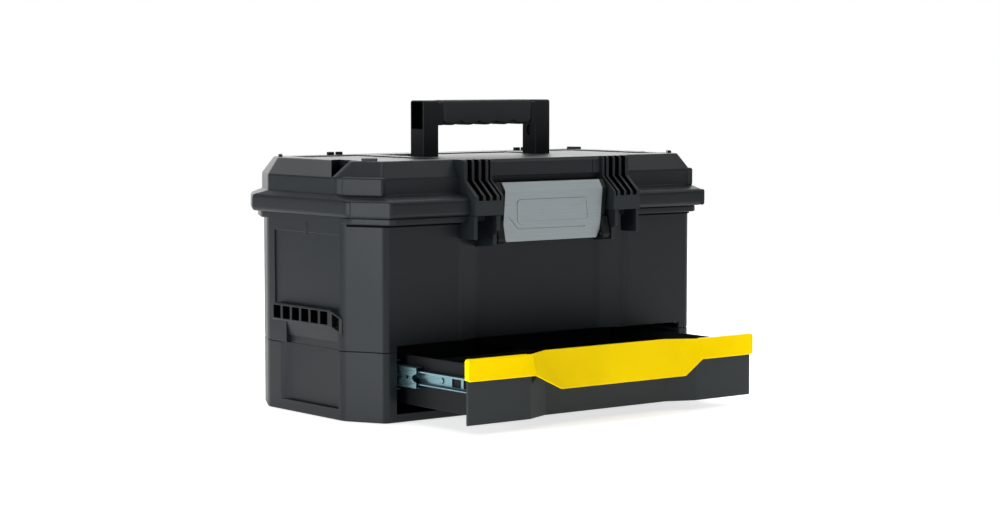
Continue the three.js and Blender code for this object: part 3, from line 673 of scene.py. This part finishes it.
def lid_hollow():
    hollow = shell_loft([
        (octagon(*DOME, WALL), 205, 0),
        (octagon(*DOME, WALL), 250, 1),
        (octagon(*CROWN, WALL), CROWN_Z - WALL, 0),
    ], 2, 2)
    cut(hollow, *well_blocks(WALL, WELL_FLOOR - WALL, CLEAR_Z))
    for _, side in SIDES:
        cut(hollow, block(span(side, 204, 241), (-71, -28), (SHOULDER_Z - WALL, CLEAR_Z)))
    return hollow


def lid_shell():
    """The lid: flange, dome and crown, with a nose, ribs, pads, pockets, tabs and hinge arms."""
    lid = shell_loft([
        (octagon(*FLANGE, 8), FLANGE_BOTTOM, 0),
        (octagon(*FLANGE), FLANGE_BOTTOM, 4.5),
        (octagon(*FLANGE), FLANGE_TOP, 4),
        (octagon(*DOME), DOME_FOOT, 1.5),
        (octagon(*DOME), SHOULDER_Z, 1.5),
        (octagon(*CROWN), CROWN_Z, 1.8),
        (octagon(*CROWN, 6), CROWN_Z, 0),
    ], 3, 4)
    cut(lid, block((-NOSE_X, NOSE_X), (-200, -DOME[1]), (205, SHOULDER_Z)))
    nose = [(-111, SHOULDER_Z), (-118, SHOULDER_Z), (-118, 265), (-115, CROWN_Z)]
    nose += [(-95, CROWN_Z), (-95, 267.2)]
    add(lid, prism(nose, -NOSE_X - 1, NOSE_X + 1, "x", 0.6, 2))
    cut(lid, lid_hollow(), *well_blocks(0, WELL_FLOOR, CLEAR_Z))
    cut(lid, nose_groove())
    for _, side in SIDES:
        add(lid, *rib_block(side))
        cut(lid, prism([(side * x, y) for x, y in POCKET], SHOULDER_Z, CLEAR_Z))
        cut(lid, block(span(side, *PANEL_X), (-PANEL_Y, PANEL_Y), (CROWN_Z - PANEL_DEPTH, CLEAR_Z)))
        for pad in CORNER_PADS:
            add(lid, corner_pad(side, *pad))
        for end in (-1, 1):
            add(lid, hull([(side * x, end * y, z) for x, y in CORNER_TAB for z in (265, 271.4)], 0.8, 2))
        for ends in REAR_HUMPS:
            add(lid, block(span(side, *ends), (88.5, 93), (267, 272), 1.0, 3))
        add_hinge_arm(lid, side)
        cut(lid, rod("x", HANDLE_BORE, *span(side, *HANDLE_BORE_X), HANDLE_PIVOT))
    clean(lid)
    soften(lid, 0.8, 2, on_lid_edge)
    smooth(lid)
    piece("lid_skin", lid, "lid", "shell", "lid_shell")


def nose_groove():
    """The fine upright line in the front of the nose, above the right end of the latch cover."""
    return block((64, 64.9), (-119, -117.5), (250, 270))


def on_lid_edge(middle, along):
    """The mouth of the handle well and the rims of the top panels."""
    in_well = abs(middle.x) < 91 and -18 < middle.y < 66
    on_panel = PANEL_X[0] - 1 < abs(middle.x) < PANEL_X[1] + 1 and abs(middle.y) < PANEL_Y + 1
    return abs(middle.z - CROWN_Z) < 0.05 and (in_well or on_panel)


def add_hinge_arm(lid, side):
    ends = span(side, *HINGE_ARM_X)
    arm = [(126, 212), (138, 204), (143, 207), (134, 226.5), (126, FLANGE_TOP)]
    add(lid, prism(arm, *ends, "x", 0.6, 2), rod("x", HINGE_R, *ends, HINGE, 32, 0.5))
    cut(lid, rod("x", HINGE_BORE, *span(side, 110, 150), HINGE))


def rib_shade_sheets():
    """Near-black sheets of painted shade on the floor and the two walls of each slot between the ribs.
    """
    wall = [(-113.2, 268.1), (-120.2, 268.1), (-120.8, 266), (-120.8, 247.4), (-139.8, 231.4)]
    wall += [(-139.8, 226.6), (-113.2, 244.8)]
    floor = [(-113.6, 268.2), (-113.6, 245.2), (-139.9, 227.2), (-139.9, 226.2), (-113, 244.4)]
    floor += [(-113, 268.2)]
    sunk, proud = 0.2, 0.12
    for name, side in SIDES:
        parts = []
        for near, far in RIB_SLOTS_X:
            parts.append(prism(floor, *span(side, near, far), "x"))
            parts.append(prism(wall, *span(side, near - sunk, near + proud), "x"))
            parts.append(prism(wall, *span(side, far - proud, far + sunk), "x"))
        shade_sheet = add(parts[0], *parts[1:])
        smooth(shade_sheet)
        piece("rib_shade_sheet_" + name, shade_sheet, "lid", "shade")


# ---- Bin ----------------------------------------------------------------------------------------
CORNER_R = 5.5
BRACKET_PLATE_X = (109, 113)
BRACKET_COLUMN_X = (79, 84)
BRACKET_FRONT = -139
EARS_X = ((107, 115.5), (146.5, 155))
UPPER_PANEL_X = 231.1
UPPER_PANEL_Y = (-66, 56)
UPPER_PANEL_Z = (114, 192)


def bin_shell():
    """The upper body: lip, latch brackets, carrying ledges, tray ledges, hinge ears and posts."""
    shell = prism(body_plan(0), PARTING_Z, RIM_Z)
    soften(shell, CORNER_R, 5, upright, 8)
    soften(shell, 0.9, 2, at_height(PARTING_Z))
    add(shell, bin_lip())
    cut(shell, prism(body_plan(WALL), BAY_TOP + WALL, 215), prism(body_plan(WALL), 70, BAY_TOP))
    cut(shell, block((-BAY_X, BAY_X), (FRONT_Y - 5, 0), (70, BAY_TOP)))
    for _, side in SIDES:
        add(shell, block(span(side, 223.7, END_X - 1), (-66, 37), (PARTING_Z, 101)))
        add(shell, block(span(side, 231, 218), (-50, 50), (197, 203.3), 0.5, 2))
        add(shell, *latch_bracket(side), *grip_ledge(side), *hinge_ears(side))
        cut(shell, finger_room(side))
        cut(shell, block(span(side, UPPER_PANEL_X, 234), UPPER_PANEL_Y, UPPER_PANEL_Z))
        add(shell, block(span(side, 231, 233.1), (-6.5, -4.9), (191, 202.5), 0.3, 2))
        cut(shell, rod("x", HINGE_BORE, *span(side, 100, 160), HINGE))
        cut(shell, rod("x", LATCH_BORE, *span(side, 78, 83.6), LATCH_PIVOT))
        for y in POSTS_Y:
            add(shell, rod("z", 5, PARTING_Z + 0.2, 81.4, (side * POST_X, y)))
            cut(shell, rod("z", POST_THREAD, 72, 81.4, (side * POST_X, y)))
    clean(shell)
    soften(shell, 0.7, 2, on_bin_edge)
    smooth(shell)
    piece("bin_skin", shell, "case", "shell", "bin_shell")


def bin_lip():
    """The lip along the front and the front corners, which is flush with the end walls."""
    lip = prism(octagon(*LIP), LIP_BOTTOM, RIM_Z)
    soften(lip, CORNER_R, 5, upright, 8)
    soften(lip, 1.2, 3, lambda m, d: not upright(m, d))
    between_brackets = block((-RECESS_OUTER, RECESS_OUTER), (-130, FRONT_Y - 0.01), (200, 215))
    return cut(lip, prism(body_plan(1), 200, 215), between_brackets)


def finger_room(side):
    """The room for fingers under a carrying ledge."""
    profile = [(234, 97), (END_X, 97), (229.5, 81), (227.7, 81), (227.7, 71.9), (234, 71.9)]
    return prism([(side * x, z) for x, z in profile], -63, 34, "y")


def on_bin_edge(middle, along):
    """The rims of the sunk panels on the end walls and the head of the drawer opening."""
    on_end_wall = abs(abs(middle.x) - END_X) < 0.05 and -69 < middle.y < 57 and middle.z > 115.5
    over_drawer = abs(middle.z - BAY_TOP) < 0.05 and abs(middle.y - FRONT_Y) < 0.05
    return on_end_wall or over_drawer


def latch_bracket(side):
    """The two walls beside the latch, with the shelf over them."""
    column = [(-102, 176), (-133, 179), (-133, 190)]
    column += [(BRACKET_FRONT, 195), (BRACKET_FRONT, RIM_Z), (-102, RIM_Z)]
    return [
        block(span(side, *BRACKET_PLATE_X), (BRACKET_FRONT, -114), (186, RIM_Z), 0.6, 2),
        prism(column, *span(side, *BRACKET_COLUMN_X), "x", 0.6, 2),
        block(span(side, 80, 112), (-119, -102), (204, RIM_Z - 0.2)),
    ]


def hinge_ears(side):
    neck = [(114, 185), (114, 203), HINGE, (141.5, 203.5)]
    parts = []
    for x in EARS_X:
        ends = span(side, *x)
        parts += [prism(neck, *ends, "x", 0.5, 2), rod("x", HINGE_R, *ends, HINGE, 32, 0.5)]
    return parts


LEDGE_X = 240.5
LEDGE_Y = (-59, 51)
LEDGE_Z = 97
LEDGE_HIGH = 18

# The end of the sloping front, as (y, x, z of its lower edge), and the (y, z) outline of its opening.
LEDGE_END = (-70.5, 233, 88.5)
LEDGE_MOUTH = [(-61, 111.3), (-67.8, 106.3), (-67.8, 92.9), (-61, 97.9)]

CORES = 6
CORE_RIB = 3.9
CORE_PITCH = (LEDGE_Y[1] - LEDGE_Y[0] - CORE_RIB) / CORES
CORES_Y = tuple(LEDGE_Y[0] + CORE_RIB + i * CORE_PITCH for i in range(CORES))
CORE_LONG = CORE_PITCH - CORE_RIB
CORE_Z = (99.4, 112.8)


def grip_ledge(side):
    """The carrying ledge on an end wall: ribs between square cores, and a front that slopes inwards."""
    levels = []
    for y, face, z in ((LEDGE_Y[1], LEDGE_X, LEDGE_Z), (LEDGE_Y[0], LEDGE_X, LEDGE_Z), LEDGE_END):
        corners = ((228, z), (228, z + LEDGE_HIGH), (face, z + LEDGE_HIGH), (face, z))
        levels.append([(side * x, y, height) for x, height in corners])
    ledge = rings(levels)
    soften(ledge, 1.2, 3, lambda m, d: abs(m.x) > 233.2)
    room = span(side, END_X, 242)
    for y in CORES_Y:
        core = block(room, (y, y + CORE_LONG), CORE_Z)
        cut(ledge, soften(core, 1.0, 2, lambda m, d: abs(d.x) > 0.9))
    cut(ledge, prism(LEDGE_MOUTH, *room, "x"))
    return [soften(ledge, 0.6, 2, on_core_edge)]


def on_core_edge(middle, along):
    """The mouths of the square cores in a carrying ledge."""
    return abs(abs(middle.x) - LEDGE_X) < 0.05 and -58 < middle.y < 48 and 99 < middle.z < 113.2


def ledge_shade_sheets():
    """Near-black sheets of painted shade on the floor and walls of each core in the carrying ledges."""
    mouth_wall = [(-61.2, 111), (-60.8, 111), (-60.8, 98.2), (-61.2, 98.2)]
    for name, side in SIDES:
        parts = [block(span(side, 232.6, 233.2), (-60, 50), (98.5, 114))]
        parts.append(prism(LEDGE_MOUTH, *span(side, 231, 232.95), "x"))
        parts.append(prism(mouth_wall, *span(side, 231, 238.6), "x"))
        for y in CORES_Y:
            end = y + CORE_LONG
            for low, high in ((y - 0.2, y + 0.15), (end - 0.15, end + 0.2)):
                parts.append(block(span(side, 232.8, 239.8), (low, high), (99, 113.2)))
            for low, high in ((99.2, 99.6), (112.6, 113)):
                parts.append(block(span(side, 232.8, 239.6), (y, end), (low, high)))
        shade_sheet = add(parts[0], *parts[1:])
        smooth(shade_sheet)
        piece("ledge_shade_sheet_" + name, shade_sheet, "case", "shade")


def lip_shadow():
    """A near-black band of painted shadow under the lip of the bin, along its front and its front
    corners.
    """
    band = prism(octagon(*BODY, -0.35), 201.3, 204.2)
    cut(band, prism(octagon(*BODY, 1), 200, 206), block((-300, 300), (-76, 300), (200, 206)))
    cut(band, block((-112.5, 112.5), (-130, -100), (200, 206)))
    smooth(band)
    piece("lip_shadow", band, "case", "shade")


# ---- Drawer housing -----------------------------------------------------------------------------
LOWER_PANEL_Y = (-63, 45)
LOWER_PANEL_TURN = 28
LOWER_PANEL_X = 227.7
LOWER_PANEL_Z = 12
HOUSING_SCREWS_Y = (-101, 93)


def drawer_housing():
    """The lower body: a tunnel for the drawer, sunk end panels and posts for the screws."""
    top = PARTING_Z - GAP
    shell = prism(octagon(*BODY), 0, top)
    soften(shell, CORNER_R, 5, upright, 8)
    soften(shell, 0.9, 2, at_height(top))
    soften(shell, 1.6, 3, at_height(0))
    cut(shell, prism(octagon(*BODY, WALL), WALL, 90))
    cut(shell, block((-BAY_X, BAY_X), (FRONT_Y - 5, FRONT_Y + 4), (BAY_BOTTOM, 90)))
    for _, side in SIDES:
        add(shell, block(span(side, BAY_X, BAY_X + 2.5), (-114, 114), (1, top)))
        add(shell, block(span(side, 224.2, END_X - 1), (-67, 50), (1, top)))
        low_y, high_y = LOWER_PANEL_Y
        panel = [(234, low_y), (234, high_y), (END_X, high_y)]
        panel += [(LOWER_PANEL_X, LOWER_PANEL_TURN), (LOWER_PANEL_X, low_y)]
        cut(shell, prism([(side * x, y) for x, y in panel], LOWER_PANEL_Z, 90))
        for y in POSTS_Y:
            place = (side * POST_X, y)
            add(shell, rod("z", 6, 1, top, place))
            cut(shell, rod("z", 4, -1, top - 14, place), rod("z", POST_THREAD, 0, 90, place))
        for y in HOUSING_SCREWS_Y:
            cut(shell, rod("x", SLIDE_SCREW_BORE, *span(side, 190, 200), (y, SLIDE_Z)))
    clean(shell)
    soften(shell, 0.7, 2, on_housing_edge, 10)
    smooth(shell)
    piece("housing_skin", shell, "case", "shell", "drawer_housing")


def on_housing_edge(middle, along):
    """The rims of the sunk panels and the jambs and sill of the drawer opening."""
    in_panel = LOWER_PANEL_Y[0] - 1 < middle.y < LOWER_PANEL_Y[1] + 1 and 11 < middle.z < 72
    on_end_wall = abs(abs(middle.x) - END_X) < 0.05 and in_panel
    on_front = abs(middle.y - FRONT_Y) < 0.05
    jamb = abs(abs(middle.x) - BAY_X) < 0.05
    sill = abs(middle.z - BAY_BOTTOM) < 0.05
    return on_end_wall or (on_front and (jamb or sill))


# ---- Handle -------------------------------------------------------------------------------------
HANDLE_Y = (-16, 8)
HANDLE_TOP = 329
BAR_BOTTOM = 302
LEG_X = (67.5, 88)
GRIP_X = 61


def handle_frame():
    """Two legs with sunk outer faces and a core bar between them."""
    profile = arc(HANDLE_PIVOT, 12, 180, 360, 20)
    profile += arc((5, 326), 3, 0, 90, 5) + arc((-13, 326), 3, 90, 180, 5)
    frame_body = block((-62.5, 62.5), (-10, 2), (308, 323))
    front, back = HANDLE_Y
    upper = [(back, BAR_BOTTOM), (back, 326), (5, HANDLE_TOP)]
    upper += [(-13, HANDLE_TOP), (front, 326), (front, BAR_BOTTOM)]
    oval = [(-4 + 4 * y, 295 + 6 * z) for y, z in arc((0, 0), 1, 0, 360, 23)]
    for _, side in SIDES:
        stub = prism(upper, *span(side, 61.3, 69), "x")
        soften(stub, 0.8, 2, lambda m, d: abs(m.x) < 62 or m.z < 303)
        leg = prism(profile, *span(side, *LEG_X), "x", 1.1, 3)
        add(frame_body, stub, leg)
        cut(frame_body, block(span(side, 74, 90), (-14.6, 6.6), (298, 327.4), 0.8, 2))
        cut(frame_body, rod("x", HANDLE_BORE, *span(side, 60, 95), HANDLE_PIVOT))
        cut(frame_body, prism(oval, *span(side, 66, 69), "x"))
    clean(frame_body)
    smooth(frame_body)
    piece("handle_skin", frame_body, "handle", "handle", "handle_frame")


def handle_shade_sheets():
    """A near-black sheet of painted shade inside the cored upper legs."""
    for name, side in SIDES:
        shade_sheet = block(span(side, 73.8, 87), (-14.8, 6.8), (297.8, 327.6))
        cut(shade_sheet, block(span(side, 74.5, 90), (-14.2, 6.2), (298.4, 327)))
        smooth(shade_sheet)
        piece("handle_shade_sheet_" + name, shade_sheet, "handle", "shade")


def handle_grip():
    """The soft sleeve, with five finger swells along its underside."""
    fingers, notch = 5, 3.4
    pitch = 2 * GRIP_X / fingers
    steps = 10 * fingers
    front, back, low_z, high_z = -16.4, 8.4, 301.8, 329.2
    levels = []
    for i in range(steps + 1):
        x = -GRIP_X + 2 * GRIP_X * i / steps
        t = (x + GRIP_X) / pitch % 1 - 0.5
        low = low_z + notch * 4 * t * t
        ease = 0.9 * max(0, 1 - (GRIP_X - abs(x)) / 1.2)
        outline = [(back - ease, low + ease), (back - ease, high_z - ease)]
        outline += [(front + ease, high_z - ease), (front + ease, low + ease)]
        levels.append([(x, y, z) for y, z in rounded(outline, 4, 5)])
    sleeve = rings(levels)
    cut(sleeve, block((-70, 70), (-10.3, 2.3), (307.7, 323.3)))
    smooth(sleeve, 28)
    piece("grip_skin", sleeve, "handle", "grip", "handle_grip")


# ---- Latch --------------------------------------------------------------------------------------
COVER_X = 67

# The front of the cover at its lower edge, at its bend and at its upper edge.
COVER_Z = (181, 234.5, 244)
COVER_Y = (-127.2, -132, -126)

# The engraved line on the cover, as (x, z).
ENGRAVING = ((-68, 208.5), (-60, 206.8), (-48, 194.8), (44, 194.6))


def cover_y(z):
    """Where the front of the latch cover is at a height."""
    low, bend_z, top = COVER_Z
    if z < bend_z:
        return COVER_Y[1] + (bend_z - z) * (COVER_Y[0] - COVER_Y[1]) / (bend_z - low)
    return COVER_Y[1] + (z - bend_z) * (COVER_Y[2] - COVER_Y[1]) / (top - bend_z)


def on_cover(points, out, into, radius=0.0):
    """A body over (x, z) points that stands out of the cover and reaches into it."""
    corners = [(x, cover_y(z) + d, z) for x, z in points for d in (-out, into)]
    body = hull(corners)
    return soften(body, radius, 2, lambda m, d: m.y < cover_y(m.z) - out * 0.8) if radius else body


def groove(a, b, width, deep):
    """A fine line engraved in the cover from a to b."""
    a, b = Vector(a), Vector(b)
    side = (b - a).normalized().orthogonal() * width / 2
    reach = (b - a).normalized() * width / 2
    corners = [a - reach - side, a - reach + side, b + reach + side, b + reach - side]
    return on_cover([tuple(c) for c in corners], 1, deep)


def latch_plate():
    """The metal cover: bent near its top, with an engraved line and a plain raised panel."""
    low, bend_z = COVER_Z[:2]
    front = list(zip(COVER_Y[::-1], COVER_Z[::-1]))
    back = [(y + 1.9, z) for y, z in zip(COVER_Y, COVER_Z)]
    plate = prism(front + back, -COVER_X, COVER_X, "x")
    for _, side in SIDES:
        corner = [(70, 193), (COVER_X, 191), (62, low), (62, low - 3), (70, low - 3)]
        cut(plate, prism([(side * x, z) for x, z in corner], -140, -115, "y"))
    soften(plate, 0.5, 2, lambda m, d: abs(m.z - bend_z) > 1 or abs(d.x) < 0.9)
    panel = rounded([(-51, 225.8), (47, 225.8), (51, 199), (-48, 199)], 6, 5)
    rim = on_cover(panel, 0.55, 0.6, 0.35)
    inner = rounded([(-47.5, 222.6), (44.5, 222.6), (48, 202.2), (-45, 202.2)], 4, 5)
    cut(rim, on_cover(inner, 2, -0.25))
    add(plate, rim)
    for a, b in zip(ENGRAVING, ENGRAVING[1:]):
        cut(plate, groove(a, b, 1.1, 0.7))
    clean(plate)
    smooth(plate)
    piece("cover_skin", plate, "latch", "latch", "latch_plate")


# ---- Drawer -------------------------------------------------------------------------------------
PULL_END = 194.5
PULL_THICK = 3
PULL_WRAP_Y = (-117, -111.7)


def drawer_pull():
    """The trim: wings that lean out towards a centre, which slopes forward to a finger lip."""
    half = [((PULL_END, -118, 76.5), (PULL_END, -118, 54))]
    half += [((114, -119.6, 76.5), (114, -125.5, 55)), ((82, -101, 76.5), (85, -131, 40))]
    columns = [((-a[0], *a[1:]), (-b[0], *b[1:])) for a, b in half] + half[::-1]
    levels = []
    for top, bottom in columns:
        inner = [(x, y + PULL_THICK, z) for x, y, z in (bottom, top)]
        levels.append([top, bottom] + inner)
    pull = rings(levels)
    soften(pull, 3.2, 5, at_pull_end, 20)
    soften(pull, 1.2, 4, lambda m, d: not at_pull_end(m, d), 20)
    for _, side in SIDES:
        cap = block(span(side, 117.5, 190), PULL_WRAP_Y, (74.1, 76.3), 0.5, 2)
        end = block(span(side, 188, 194.4), PULL_WRAP_Y, (54.2, 76.4))
        soften(end, 3.1, 5, lambda m, d: abs(m.x) > 194.3 and abs(d.y) > 0.9)
        cut(end, block(span(side, 180, 193.3), (-114.9, -100), (50, 73.8)))
        add(pull, cap, end)
    clean(moved(pull, -DRAWER_OPEN))
    smooth(pull, 40)
    piece("pull_skin", pull, "drawer", "pull", "drawer_pull")


def at_pull_end(middle, along):
    """The edges that run front to back at the outer ends of the pull."""
    return abs(abs(middle.x) - PULL_END) < 0.05 and abs(along.y) > 0.9


# ---- Slides -------------------------------------------------------------------------------------
def channel(side, web, flange, half, thick, y, bend_r):
    """A pressed channel: a web with a rounded flange at its top and its bottom."""
    inner = web + (thick if flange > web else -thick)
    line = [(web, -half), (flange, -half), (flange, thick - half), (inner, thick - half)]
    line += [(inner, half - thick), (flange, half - thick), (flange, half), (web, half)]
    body = prism([(side * x, SLIDE_Z + z) for x, z in line], *y, "y")
    return soften(body, bend_r, 3, lambda m, d: abs(abs(m.x) - web) < 0.05 and abs(d.y) > 0.9)


def slide_middle(name, side):
    """The middle member, with a formed nose, a hole, windows and two pressed ribs in its web."""
    body = channel(side, 191.6, 184, 11, 1, (-84.5, 99), 0.8)
    through = span(side, 182, 194)
    nose = [(-87, 48), (-87, 43), (-80, 45.5), (-77, 48.5), (-80, 51.5), (-87, 54)]
    cut(body, prism(nose, *through, "x"))
    cut(body, prism(arc((-69.5, SLIDE_Z), 2.1, 0, 345, 23), *through, "x"))
    for y in (-58, -20, 22, 60):
        cut(body, prism(rounded(rectangle((y, y + 9), (46, 51.5)), 2), *through, "x"))
    for z in (42.2, 55.2):
        rib = block(span(side, 191, 192), (-83, -50), (z - 0.9, z + 0.9))
        add(body, soften(rib, 0.35, 2))
    clean(moved(body, -DRAWER_OPEN / 2))
    smooth(body)
    piece("slide_middle_skin_" + name, body, "slide_middle_" + name, "zinc", "slide_middle_" + name)


def slide_inner(name, side):
    """The inner member, screwed to the drawer, with square windows near its front."""
    body = channel(side, 181.4, 188.9, 7, 1.1, (-111, 94), 0.7)
    through = span(side, 180.9, 184)
    for y in (-58, 70):
        cut(body, rod("x", SLIDE_SCREW_BORE, *through, (y, SLIDE_Z)))
    for y in (-75, -94):
        cut(body, prism(rounded(rectangle((y - 15, y), (44, 52.6)), 1), *through, "x"))
    for y in (-12, 14, 44):
        cut(body, prism(rounded(rectangle((y, y + 11), (47, 50.5)), 1.5), *through, "x"))
    clean(moved(body, -DRAWER_OPEN))
    smooth(body)
    piece("slide_inner_skin_" + name, body, "drawer", "zinc", "slide_inner_" + name)


# ---- The whole object ---------------------------------------------------------------------------
add_camera()
lid_shell()
rib_shade_sheets()
bin_shell()
ledge_shade_sheets()
lip_shadow()
drawer_housing()
handle_frame()
handle_shade_sheets()
handle_grip()
latch_plate()
dressed("latch_lever", "latch", "handle", 0.5)
dressed("drawer_tub", "drawer", "inner", 0.6)
dressed("drawer_fascia", "drawer", "fascia", 0.9, 8)
drawer_pull()
keep("tote_tray", "inner", 0.5)
for part in ("long", "left", "right", "rear"):
    keep("drawer_divider_" + part, "inner", 0.4)
for name, side in SIDES:
    slide_middle(name, side)
    slide_inner(name, side)
    for node in ("slide_outer", "ball_cage_outer", "ball_cage_inner"):
        keep(node + "_" + name, "zinc")
    for node in ("hinge_pin", "latch_pin", "handle_pin"):
        keep(node + "_" + name, "zinc", 0.3)
    for end in ("front", "rear"):
        for node in ("slide_screw_outer", "slide_screw_inner", "housing_screw"):
            keep(node + "_" + end + "_" + name, "zinc", 0.2)
add_stage()
